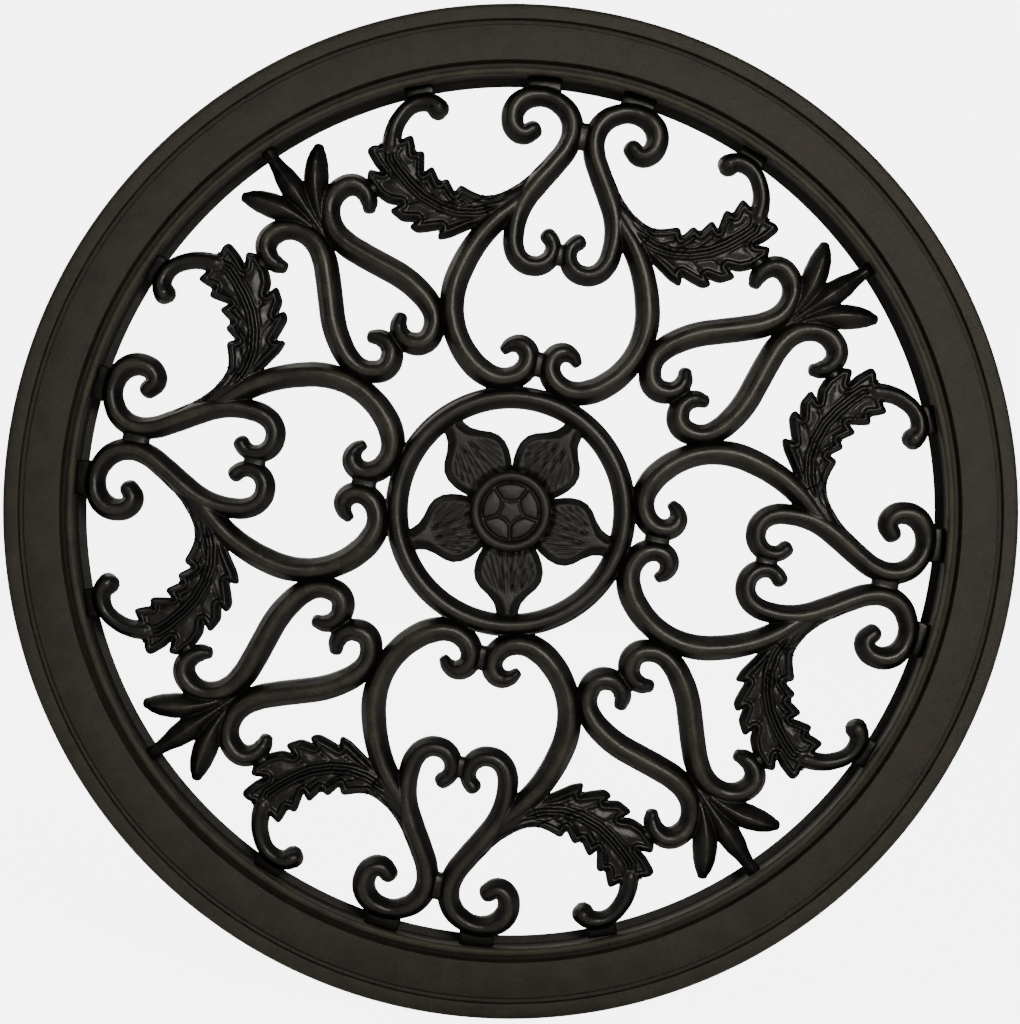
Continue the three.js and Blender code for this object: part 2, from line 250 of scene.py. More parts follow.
# %% Lines of the bars
HEART_SCROLL = [
    (27.6, 208.6, 0.70), (32.6, 205.2, 0.78), (37.8, 207.2, 0.84), (40.4, 213.0, 0.88),
    (39.5, 219.4, 0.90), (35.5, 224.3, 0.86), (29.5, 226.9, 0.76), (23.0, 227.4, 0.73),
    (16.0, 225.3, 0.79), (9.8, 220.4, 0.84), (6.4, 212.0, 0.86), (7.5, 202.5, 0.86),
    (13.0, 191.5, 0.88), (20.0, 180.0, 0.92), (25.2, 169.5, 0.88), (27.4, 160.0, 0.83),
    (27.5, 151.0, 0.80), (26.0, 143.0, 0.80), (21.5, 137.0, 0.78), (14.5, 134.9, 0.77),
    (7.6, 137.6, 0.74), (4.4, 144.2, 0.64), (5.7, 149.8, 0.58), (8.7, 152.8, 0.60),
]
HEART_ARM = [
    (21.0, 178.0, 0.60), (30.0, 165.5, 0.80), (38.5, 155.5, 0.90), (44.0, 147.0, 0.92),
    (48.3, 138.0, 0.95), (51.8, 127.5, 0.99), (53.9, 116.5, 1.00), (53.5, 106.0, 0.97),
    (51.2, 97.0, 0.95), (46.4, 87.5, 0.96), (39.0, 78.8, 1.00), (30.4, 72.8, 1.00),
    (21.0, 70.4, 0.93), (13.0, 72.4, 0.90), (7.6, 77.2, 0.90), (6.0, 83.6, 0.83),
    (8.0, 89.0, 0.83), (12.6, 91.3, 0.76), (17.4, 90.0, 0.55), (20.3, 87.0, 0.34),
]
TEARDROP = [
    (79.9, 93.2, 0.46), (80.1, 88.6, 0.64), (77.3, 83.2, 0.76), (70.7, 80.4, 0.90),
    (64.0, 82.6, 0.92), (60.8, 89.5, 0.88), (61.5, 97.0, 0.86), (65.6, 103.6, 0.92),
    (73.0, 109.8, 0.97), (83.0, 115.3, 1.00), (95.0, 119.4, 1.01), (107.0, 123.3, 1.01),
    (117.5, 127.6, 1.00), (125.3, 134.0, 0.92), (128.9, 142.0, 0.80), (129.2, 149.0, 0.80),
    (126.2, 155.8, 0.87), (119.0, 160.0, 0.86), (112.1, 157.4, 0.76), (108.9, 152.3, 0.64),
    (108.2, 148.8, 0.44),
]
LEAF_CURL = [
    (102.6, 184.0, 0.78), (103.0, 194.0, 0.64), (100.6, 202.0, 0.60), (96.4, 208.2, 0.58),
    (90.6, 211.6, 0.62), (85.0, 212.0, 0.74), (81.0, 209.6, 0.86),
]
scroll_bar = swept_bar("scroll", HEART_SCROLL)
arm_bar = swept_bar("arm", HEART_ARM)
curl_bar = swept_bar("curl", LEAF_CURL)
drop_bar = swept_bar("drop", TEARDROP)
swept = (scroll_bar, arm_bar, curl_bar, drop_bar)
print("bars swept:", [triangles(bar) for bar in swept], "triangles")

# %% [markdown]
# ## Necks where castings meet
# Metal flows together where two bars touch, so a short low neck joins them. Each is a
# straight stub of even width with a pillow-shaped section, and melts into its neighbours
# later. A neck that crosses a line of symmetry, or runs into a ring, ends inside the
# casting on the other side.

# %% Necks
PILLOW = [(0.5, 0.0), (0.5, 0.30), (0.47, 0.42), (0.38, 0.54), (0.24, 0.61), (0.0, 0.64)]
pillow_section = section_curve("pillow_section", PILLOW)


def neck(start, end, width, height):
    """A low stub from one place to another, in mm."""
    share = width * MM / BAR_W
    middle = ((a + b) / 2 for a, b in zip(start, end))
    line = [(*start, share), (*middle, share), (*end, share)]
    stub = swept_bar("neck", line, pillow_section, NECK_STEPS, round_tips=False)
    points = points_of(stub)
    points[:, 2] *= height * MM / points[:, 2].max()
    put_points(stub, points)
    return stub


heart_necks = [
    neck((9, 210.0), (-3, 210.0), 12.5, 5.4),
    neck((6, 143.6), (-3, 143.6), 9.6, 4.8),
    neck((25, 224), (27.0, 238.6), 17, 1.4),
    neck((24, 172.5), (43.5, 158.5), 10, 7.4),
    neck((8, 82.2), (-3, 82.2), 11.5, 5.0),
    neck((17.4, 74), (15.6, 62), 18, 4.2),
    neck((90.5, 209), (94.6, 220.2), 14, 1.4),
]
drop_necks = [
    neck((63.5, 96.6), (51, 99.6), 14, 4.2),
    neck((74.5, 84.5), (85, 74), 11.5, 4.8),
    neck((103, 163.5), (112.1, 157.4), 4, 5.0),
]
print("necks:", len(heart_necks), "to half a heart,", len(drop_necks), "to half a drop")

# %% [markdown]
# ## The leaf's plate
# The leaf starts as a thin toothed plate: its outline is a ring of vertices put in
# place and filled with one face, whose corners a vertex bevel rounds before the face is
# extruded to the plate's height.

# %% Leaf plate
LEAF_H = 6.5
LEAF_OUTLINE = [
    (26, 168), (38, 158.5), (48, 151.5), (57, 145.4), (62, 141.9), (67.8, 139.6),
    (67.2, 145.5), (74, 143.1), (80, 141.2), (84.1, 143.0), (81.0, 147.1), (89, 145.8),
    (96.4, 149.7), (91.2, 154.2), (98, 153.9), (104.4, 156.6), (111.6, 163.4),
    (112.0, 169.2), (104.0, 168.8), (109.0, 173.0), (114.9, 179.8), (113.2, 182.1),
    (107.7, 183.6), (107.2, 188.4), (97.8, 188.4), (92.6, 192.4), (90.3, 186.5),
    (89.5, 183.1), (84.8, 184.9), (83.6, 178.0), (82.6, 172.7), (78.4, 177.6),
    (75.0, 172.6), (72.8, 169.6), (69.0, 172.5), (66.0, 168.3), (63.3, 165.4),
    (61.3, 170.4), (54, 167.8), (48, 166.7), (41, 168.6), (34.5, 172.4), (28.5, 178),
    (23.5, 184.5), (18.5, 190), (13.5, 190), (20, 180),
]
LEAF_CORNER = 1.8
LEAF_GROWTH = 0.5
# The plate is thinner towards its root: places along u, and shares of its height.
LEAF_ROOT_U = [22, 32, 42]
LEAF_ROOT_SHARE = [0.5, 0.85, 1.0]


def grown(outline, by):
    """The closed outline moved outwards by so much; it runs anticlockwise."""
    line = np.array(outline, float)
    run = np.roll(line, -1, axis=0) - np.roll(line, 1, axis=0)
    run /= np.linalg.norm(run, axis=1)[:, None]
    outwards = np.column_stack([run[:, 1], -run[:, 0]])
    return [tuple(point) for point in line + by * outwards]


def flat_plate(name, outline, height, corner=0.0):
    """A plate of even height, in mm, its outline's corners rounded first."""
    bpy.ops.object.select_all(action="DESELECT")
    bpy.ops.mesh.primitive_circle_add(vertices=len(outline), radius=1, location=(0, 0, 0))
    plate = bpy.context.object
    plate.name = name
    put_points(plate, np.array([(u, v, 0) for u, v in outline]) * MM)
    bpy.ops.object.mode_set(mode="EDIT")
    bpy.ops.mesh.select_all(action="SELECT")
    bpy.ops.mesh.edge_face_add()
    if corner:
        bpy.ops.mesh.bevel(affect="VERTICES", offset=corner * MM, segments=3)
    bpy.ops.mesh.select_all(action="SELECT")
    bpy.ops.mesh.extrude_region_move(
        TRANSFORM_OT_translate={"value": (0, 0, height * MM)})
    bpy.ops.mesh.select_all(action="SELECT")
    bpy.ops.mesh.normals_make_consistent(inside=False)
    bpy.ops.object.mode_set(mode="OBJECT")
    return plate


leaf_plate = flat_plate("leaf", grown(LEAF_OUTLINE, LEAF_GROWTH), LEAF_H, LEAF_CORNER)
points = points_of(leaf_plate)
points[:, 2] *= np.interp(points[:, 0] / MM, LEAF_ROOT_U, LEAF_ROOT_SHARE)
put_points(leaf_plate, points)
print("leaf plate:", triangles(leaf_plate), "triangles")

# %% [markdown]
# ## Melting the castings together
# The real scrollwork comes out of one mould, so bars, necks and leaf run into each other
# with small fillets. Mirroring the half, joining the meshes and remeshing them in
# voxels makes one skin, and smoothing turns its creases into fillets and rounds its
# edges. The skin is then swelled by the thickness of the coat.

# %% Hearts and teardrops, melted
VOXEL = 0.5 * MM
COAT = 0.35 * MM
MELT_SMOOTHING = 2


def melted(name, parts):
    casting = join(name, parts)
    apply_modifier(casting, "MIRROR", use_axis=(True, False, False),
                   use_mirror_merge=False)
    apply_modifier(casting, "REMESH", mode="VOXEL", voxel_size=VOXEL)
    apply_modifier(casting, "SMOOTH", factor=0.5, iterations=MELT_SMOOTHING)
    apply_modifier(casting, "DISPLACE", strength=COAT, mid_level=0.0)
    return casting


heart = melted("heart", [scroll_bar, arm_bar, curl_bar, leaf_plate] + heart_necks)
print("heart:", triangles(heart), "triangles")

# %% [markdown]
# ## The sprig
# Three slim leaflets fan out of the teardrop's point, each with a sharp ridge along it.
# They are swept like the bars with a ridged section, and melt into the teardrop.

# %% Sprig and teardrop
SPRIG_SIDE = [
    (126.5, 128.0, 0.18), (131.5, 135.5, 0.45), (136.0, 145.0, 0.76), (138.8, 154.0, 0.97),
    (140.2, 161.0, 1.00), (141.2, 168.0, 0.86), (141.7, 173.0, 0.62), (141.9, 176.6, 0.32),
]
SPRIG_MIDDLE = [
    (125.6, 125.6, 0.16), (138.0, 138.0, 0.60), (150.8, 150.8, 1.02), (157.0, 157.0, 0.86),
    (161.5, 161.5, 0.58), (165.0, 165.0, 0.45), (171.5, 171.5, 0.50),
]
# The middle leaflet runs out into a low stem: places along it, and shares of height.
STEM_U = [146, 170]
STEM_SHARE = [1.0, 0.5]
EIGHTH_TURN = math.radians(45)
sprig_parts = [
    swept_bar("sprig_side", SPRIG_SIDE, ridged_section),
    swept_bar("sprig_middle", SPRIG_MIDDLE, ridged_section),
]
points = points_of(sprig_parts[1])
points[:, 2] *= np.interp(points[:, 0] / MM, STEM_U, STEM_SHARE)
put_points(sprig_parts[1], points)
drop_parts = [drop_bar] + sprig_parts + drop_necks
for part in drop_parts:
    part.data.transform(Matrix.Rotation(EIGHTH_TURN, 4, "Z"))
drop = melted("teardrop", drop_parts)
print("teardrop:", triangles(drop), "triangles")

# %% [markdown]
# ## Relief pressed into the leaf
# The leaf's rim stands up as a fine ridge that follows every tooth, a pair of raised
# veins runs along its middle, and shallow valleys come in from the notches. Carving that
# by hand would take a sculpt; here each point's height is worked out from how far it
# lies from the outline, the veins and the valleys, and the bars are left alone.

# %% Leaf relief
LEAF_MIDRIB = [(30, 167), (38, 162), (50, 157.2), (60, 155.6), (70, 156.8), (80, 160.3),
               (88, 165.3), (96, 172), (101, 177), (103, 186)]
LEAF_ROOT = (28, 174)
LEAF_VALLEYS = [((67.2, 145.5), (54, 154)), ((81.0, 147.1), (68, 154.5)),
                ((91.2, 154.2), (80, 158.5)), ((104.0, 168.8), (95, 168.5)),
                ((63.3, 165.4), (52, 159.5)), ((72.8, 169.6), (61, 158)),
                ((82.6, 172.7), (71, 159)), ((89.5, 183.1), (82, 164))]
VALLEY_DEPTH = 1.1
VALLEY_HALF_W = 1.7
print("leaf relief:", len(LEAF_VALLEYS), "valleys")


# %% Distances and ramps
def away_from(places, line, closed=False):
    """How far each place lies from a line of straight runs."""
    line = np.array(line, float)
    starts = line if closed else line[:-1]
    ends = np.roll(line, -1, axis=0) if closed else line[1:]
    nearest = np.full(len(places), np.inf)
    for start, end in zip(starts, ends):
        run = end - start
        along = np.clip(((places - start) @ run) / (run @ run), 0, 1)
        gap = np.linalg.norm(places - (start + along[:, None] * run), axis=1)
        nearest = np.minimum(nearest, gap)
    return nearest


def inside_of(places, outline):
    """True for the places inside a closed outline."""
    line = np.array(outline, float)
    within = np.zeros(len(places), bool)
    for start, end in zip(line, np.roll(line, -1, axis=0)):
        spans = (start[1] > places[:, 1]) != (end[1] > places[:, 1])
        rise = np.where(end[1] == start[1], 1e-9, end[1] - start[1])
        crossing = start[0] + (places[:, 1] - start[1]) * (end[0] - start[0]) / rise
        within ^= spans & (places[:, 0] < crossing)
    return within


def ramp(x, *stops):
    """Value at x between the stops (distance, value)."""
    return np.interp(x, *zip(*stops))


# %% Heights of the leaf
# Every ramp is (distance in mm, value): heights in mm, or a fade from 0 to 1.
def leaf_height(places, edge):
    rib = away_from(places, LEAF_MIDRIB)
    height = ramp(edge, (0, 3.4), (1.4, 5.3), (2.3, 6.5), (3.0, 6.3), (4.0, 4.9),
                  (5.0, 4.8), (7.5, 5.7), (10, 6.0))
    off_rim = ramp(edge, (2.2, 0), (3.7, 1))
    for notch, root in LEAF_VALLEYS:
        valley = away_from(places, [notch, root])
        height -= VALLEY_DEPTH * ramp(valley, (0, 1), (VALLEY_HALF_W, 0)) * off_rim
    veins = ramp(rib, (0, 4.6), (0.7, 5.1), (1.7, 6.9), (2.4, 6.7), (3.6, 4.9), (5, 4.8))
    near = ramp(rib, (3.4, 1), (5, 0)) * ramp(edge, (1.6, 0), (3.0, 1))
    return height * (1 - near) + veins * near


def clear_of_bars(places):
    """0 on a bar, 1 a little way off it."""
    clear = np.ones(len(places))
    for line in (HEART_SCROLL, HEART_ARM, LEAF_CURL):
        spine = [(u, v) for u, v, share in line]
        share = np.mean([share for u, v, share in line])
        gap = away_from(places, spine) - share * BAR_W / MM / 2
        clear = np.minimum(clear, ramp(gap, (-0.4, 0), (1.2, 1)))
    return clear


# %% Press the leaf
LEAF_MARGIN = 1.0
points = points_of(heart)
places = points[:, :2] / MM
places[:, 0] = np.abs(places[:, 0])
from_edge = away_from(places, LEAF_OUTLINE, closed=True)
within = inside_of(places, LEAF_OUTLINE)
pressed = within | (from_edge < LEAF_MARGIN)
share = leaf_height(places, np.where(within, from_edge, 0)) / LEAF_H
from_root = np.linalg.norm(places - LEAF_ROOT, axis=1)
weight = clear_of_bars(places) * pressed * ramp(from_root, (8, 0), (18, 1))
points[:, 2] *= 1 + weight * (share - 1)
put_points(heart, points)
print("leaf relief pressed into", int(pressed.sum()), "points")

# %% [markdown]
# ## Placing the castings
# Flat places of a remeshed skin carry far more triangles than they need, so each casting
# is decimated once, stood up, and then copied round the axis, every copy with its own
# mesh.

# %% Finishing and copying
SCROLL_KEEP = 0.42
CASTING_CREASE = 60


def finish_casting(casting, keep):
    """Thin the mesh to the share given, stand it up and smooth its faces."""
    apply_modifier(casting, "DECIMATE", ratio=keep)
    stand_up(casting)
    smooth_by_angle(casting, CASTING_CREASE)


def copy_turned(piece, name, turn):
    """A copy with its own mesh, turned clockwise about the axis as the face is seen."""
    only(piece)
    bpy.ops.object.duplicate()
    copy = bpy.context.object
    copy.name = name
    copy.data.name = name
    copy.data.transform(Matrix.Rotation(turn, 4, "Y"))
    copy.data.update()
    return copy


def drop_source(piece):
    bpy.data.objects.remove(piece)


finish_casting(heart, SCROLL_KEEP)
finish_casting(drop, SCROLL_KEEP)
print("finished:", triangles(heart), "and", triangles(drop), "triangles")

# %% Copies of hearts and teardrops
scroll_pieces = []
for i in range(MOTIFS):
    turn = SCROLL_LEAN + i * math.tau / MOTIFS
    here, following = i + 1, (i + 1) % MOTIFS + 1
    one_heart = copy_turned(heart, f"heart_casting_{here}", turn)
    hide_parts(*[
        f"{kind}_{here}_{side}"
        for kind in ("heart_scroll", "heart_arm", "leaf", "leaf_curl")
        for side in ("right", "left")
    ])
    one_drop = copy_turned(drop, f"teardrop_casting_{here}", turn + math.tau / MOTIFS / 2)
    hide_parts(f"teardrop_bar_{here}_right", f"teardrop_bar_{following}_left",
                f"sprig_{here}")
    scroll_pieces += [one_heart, one_drop]
drop_source(heart)
drop_source(drop)
print("castings:", [piece.name for piece in scroll_pieces])

# %% [markdown]
# ## Turned rings
# Rings are made as on a lathe: a profile is drawn and spun about the axis. Here the
# profile is a circle with one vertex to each of its points, each vertex is put in its
# place, and Spin carries the outline a full turn.
#
# A fault is left in this step. The circle is added in edit mode, after the plane's own
# four vertices are deleted, and its first four vertices then come out in reverse order.
# Two runs of each profile join the wrong points: the face ring's back slopes from the
# rim to the sleeve's end, where it should be flat with the sleeve standing off it, and
# the small ring's bar is crossed inside. A circle that is added as an object of its own,
# as flat_plate does, keeps the order.

# %% Spinning a profile
RING_CREASE = 40


def turned_ring(name, profile, steps):
    """profile: (radius, y) of a closed outline in metres."""
    bpy.ops.object.select_all(action="DESELECT")
    bpy.ops.mesh.primitive_plane_add(size=1, location=(0, 0, 0))
    ring = bpy.context.object
    ring.name = name
    ring.data.name = name
    bpy.ops.object.mode_set(mode="EDIT")
    bpy.ops.mesh.select_all(action="SELECT")
    bpy.ops.mesh.delete(type="VERT")
    bpy.ops.mesh.primitive_circle_add(vertices=len(profile), radius=1, location=(0, 0, 0))
    bpy.ops.object.mode_set(mode="OBJECT")
    put_points(ring, np.array([(radius, y, 0) for radius, y in profile]))
    bpy.ops.object.mode_set(mode="EDIT")
    bpy.ops.mesh.select_all(action="SELECT")
    bpy.ops.mesh.spin(steps=steps, angle=math.tau, center=(0, 0, 0), axis=(0, 1, 0))
    bpy.ops.mesh.select_all(action="SELECT")
    bpy.ops.mesh.remove_doubles(threshold=WELD)
    bpy.ops.mesh.normals_make_consistent(inside=False)
    bpy.ops.object.mode_set(mode="OBJECT")
    smooth_by_angle(ring, RING_CREASE)
    return ring


def arc(middle, radius, start, end, count):
    """Points of a round edge in the profile, angles in degrees."""
    return [
        (middle[0] + radius * math.cos(turn), middle[1] + radius * math.sin(turn))
        for turn in (math.radians(a) for a in np.linspace(start, end, count))
    ]


# %% Face ring
# The profile is radius and height above the seat, both in mm: the sleeve behind, the
# rim, a groove, the field, a second groove, and the bead that leans over the opening.
RIM_SLACK = 0.05
FACE_STEPS = 240
RIM = RIM_R / MM - RIM_SLACK
IN = OPENING_R / MM
RING_PROFILE = (
    [(IN, -19.0), (IN + 4, -19.0), (IN + 4, -0.3), (IN + 4.3, 0.0)]
    + arc((RIM - 0.8, 0.8), 0.8, -90, 0, 4)
    + arc((RIM - 3.4, 3.6), 3.4, 0, 90, 9)
    + arc((RIM - 8.4, 6.3), 0.7, 90, 170, 4)
    + [(RIM - 9.3, 4.8), (RIM - 9.9, 4.3), (RIM - 11.2, 4.3)]
    + arc((RIM - 12.6, 5.7), 0.8, 20, 90, 4)
    + arc((IN + 8.6, 5.7), 0.8, 90, 160, 4)
    + [(IN + 7.3, 3.9), (IN + 6.7, 3.3), (IN + 4.2, 3.3), (IN + 3.6, 4.2)]
    + arc((IN + 1.2, 8.8), 2.1, -20, 205, 16)
    + [(IN + 0.4, 6.0), (IN + 0.02, 4.4)]
)
face_profile = [(radius * MM, SEAT_Y - height * MM) for radius, height in RING_PROFILE]
face_ring = turned_ring("face_ring_casting", face_profile, FACE_STEPS)
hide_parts("face_ring", "rear_sleeve")
print("face ring:", triangles(face_ring), "triangles")

# %% Small ring
# Its bar has the scrolls' section, and is 1 mm wider than the frame's solid.
HUB_BAR_W = 12.6 * MM
HUB_STEPS = 160
hub_profile = [(HUB_R + across * HUB_BAR_W, BACK_Y - up * BAR_H)
               for across, up in MOULDED + [(-a, u) for a, u in reversed(MOULDED[:-1])]]
hub_ring = turned_ring("hub_ring_casting", hub_profile, HUB_STEPS)
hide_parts("hub_ring")
print("small ring:", triangles(hub_ring), "triangles")

# %% [markdown]
# ## The flower
# Five petals with fine furrows stand round a boss that is shaped like a seed head: a
# round rim, five lens-shaped seeds and a star between them. Each starts as a plain plate
# or disc, is remeshed for points to move, and gets its relief pressed in by height.

# %% Petal
PETAL_H = 6.0
PETAL_VOXEL = 0.45 * MM
PETAL_KEEP = 0.5
PETAL_HALF = [
    (11.0, 15.5), (13.1, 18.0), (14.9, 20.5), (16.8, 24.2), (18.4, 28.5), (19.2, 33.5),
    (18.3, 38.5), (15.6, 42.5), (11.2, 46.4), (7.7, 50.6), (6.2, 55.0), (6.4, 59.5),
    (6.8, 62.0),
]
PETAL_OUTLINE = PETAL_HALF + [(-u, v) for u, v in reversed(PETAL_HALF)]
# The furrows fan out from the tip: their gap is measured so far from it.
PETAL_TIP_V = 60
FURROW_GAP = 2.4
FURROW_AT = 28
FURROW_DEPTH = 1.25
BOSS_SINK = 1.6


def petal_height(places):
    edge = away_from(places, PETAL_OUTLINE, closed=True)
    u, v = places[:, 0], places[:, 1]
    blade = ramp(edge, (0, 1.6), (2.0, 3.2), (3.3, 4.8), (4.4, 5.3), (5.6, 5.35), (9, 5.6),
                 (16, 6.0))
    bearing = np.arctan2(u, PETAL_TIP_V - v)
    furrow = 0.5 - 0.5 * np.cos(bearing * math.tau * FURROW_AT / FURROW_GAP)
    depth = ramp(edge, (4.4, 0), (5.9, 1)) * ramp(v, (42, 1), (50, 0))
    uneven = 0.62 + 0.38 * np.sin(u * 1.1 + v * 0.4) * np.sin(v * 0.31 + 1)
    blade -= FURROW_DEPTH * furrow * depth * uneven
    stem = ramp(edge, (0, 2.0), (3.0, 3.9), (5.2, 5.9), (6.2, 6.0))
    near_tip = ramp(v, (43, 0), (50, 1))
    height = blade * (1 - near_tip) + stem * near_tip
    off_boss = np.hypot(u, v) - BOSS_R / MM
    return height - BOSS_SINK * ramp(off_boss, (0, 1), (3.0, 0))


def press_relief(plate, height_at, base):
    """Scale the heights of a flat plate so that its top follows the relief."""
    points = points_of(plate)
    points[:, 2] *= height_at(points[:, :2] / MM) / base
    put_points(plate, points)


petal = flat_plate("petal", PETAL_OUTLINE, PETAL_H)
apply_modifier(petal, "REMESH", mode="VOXEL", voxel_size=PETAL_VOXEL)
press_relief(petal, petal_height, PETAL_H)
apply_modifier(petal, "SMOOTH", factor=0.5, iterations=1)
finish_casting(petal, PETAL_KEEP)
print("petal:", triangles(petal), "triangles")

# %% Boss
BOSS_H = 8.0
BOSS_VOXEL = 0.4 * MM
BOSS_KEEP = 0.6
BOSS_SIDES = 96
BOSS_SLACK = 0.1 * MM
SEED_AT = 16.5
SEED_R = 11.0
DISH_R = 15.9


def boss_height(places):
    radius = np.hypot(places[:, 0], places[:, 1])
    bearing = np.arctan2(places[:, 0], places[:, 1])
    sector = math.tau / PETALS
    off = (bearing % sector) - sector / 2
    across, along = radius * np.sin(off), radius * np.cos(off)
    to_seed = SEED_R - np.hypot(across, along - SEED_AT)
    to_side = radius * np.sin(sector / 2 - np.abs(off))
    seed_edge = np.minimum(np.minimum(to_seed, DISH_R - radius), to_side)
    seed = ramp(seed_edge, (0, 4.7), (0.45, 4.9), (0.9, 5.9), (1.6, 6.4), (4, 6.8))
    star = ramp(-to_seed, (0, 4.7), (0.45, 4.9), (0.9, 5.6), (2, 5.9), (4, 6.1))
    inner = np.where(to_seed > 0, seed, star)
    rim = ramp(radius, (DISH_R, 4.7), (16.4, 5.2), (17.4, 7.0), (18.5, 7.8), (19.5, 8.0),
               (20.6, 7.7), (21.6, 6.6), (22.3, 5.0), (22.6, 4.0))
    return np.where(radius < DISH_R, inner, rim)


bpy.ops.object.select_all(action="DESELECT")
bpy.ops.mesh.primitive_cylinder_add(
    vertices=BOSS_SIDES, radius=BOSS_R - BOSS_SLACK, depth=BOSS_H * MM,
    location=(0, 0, 0))
boss = bpy.context.object
boss.data.transform(Matrix.Translation((0, 0, BOSS_H * MM / 2)))
apply_modifier(boss, "REMESH", mode="VOXEL", voxel_size=BOSS_VOXEL)
press_relief(boss, boss_height, BOSS_H)
finish_casting(boss, BOSS_KEEP)
print("boss:", triangles(boss), "triangles")

# %% Placing the flower
PETAL_LEAN = math.radians(178)
petals = []
for i in range(PETALS):
    one = copy_turned(petal, f"petal_casting_{i + 1}", i * math.tau / PETALS - PETAL_LEAN)
    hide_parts(f"petal_{i + 1}")
    petals.append(one)
drop_source(petal)
boss_casting = copy_turned(boss, "boss_casting", -PETAL_LEAN)
drop_source(boss)
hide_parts("flower_boss")
for section in (moulded_section, ridged_section, pillow_section):
    drop_source(section)
print("flower:", [piece.name for piece in petals + [boss_casting]])

# %% [markdown]
# ## Finishes
# The whole panel is cast metal under a black coat. The coat is satin, and where hands
# and weather rub it, along the crowns and ridges, it is thinner, greyer and warmer.
# Between rim and bead of the face ring the mould leaves a fine pebbled field. All of it
# is built from noise at real sizes, read from Object coordinates, so that it follows the
# castings.

# %% Helpers for nodes
def linear(hex_colour):
    """sRGB hex to linear RGBA."""
    channels = [int(hex_colour[i:i + 2], 16) / 255 for i in (1, 3, 5)]
    rgb = [c / 12.92 if c <= 0.04045 else ((c + 0.055) / 1.055) ** 2.4 for c in channels]
    return rgb + [1.0]


def add(tree, kind, inputs=None, **settings):
    """Adds a node: settings are its attributes, inputs its socket values or links."""
    node = tree.nodes.new(kind)
    for key, value in settings.items():
        setattr(node, key, value)
    for key, value in (inputs or {}).items():
        if isinstance(value, bpy.types.NodeSocket):
            tree.links.new(value, node.inputs[key])
        else:
            node.inputs[key].default_value = value
    return node


def waves_per_metre(size_mm):
    """Noise scale whose features are about this size."""
    return 1000 / size_mm


# %% [markdown]
# ### Black coat on the castings
# Stove enamel or powder coat over an iron or aluminium casting: satin, with a faint
# orange peel from the sprayed coat over the sand's own unevenness. The crowns lie
# nearest the face, so height above the back tells where the coat is rubbed.

# %% Sizes and values of the coat
# Feature sizes in mm: clouds of wear, fine specks in them, and the swell of the sand.
CLOUD_MM = 14
SPECK_MM = 1.6
SWELL_MM = 6
ENAMEL_IOR = 1.5
ENAMEL_SPECULAR = 0.42
# A Mix node has sockets of every data type; these are the two for colours.
MIX_COLOUR_A, MIX_COLOUR_B, MIX_COLOUR_OUT = 6, 7, 2


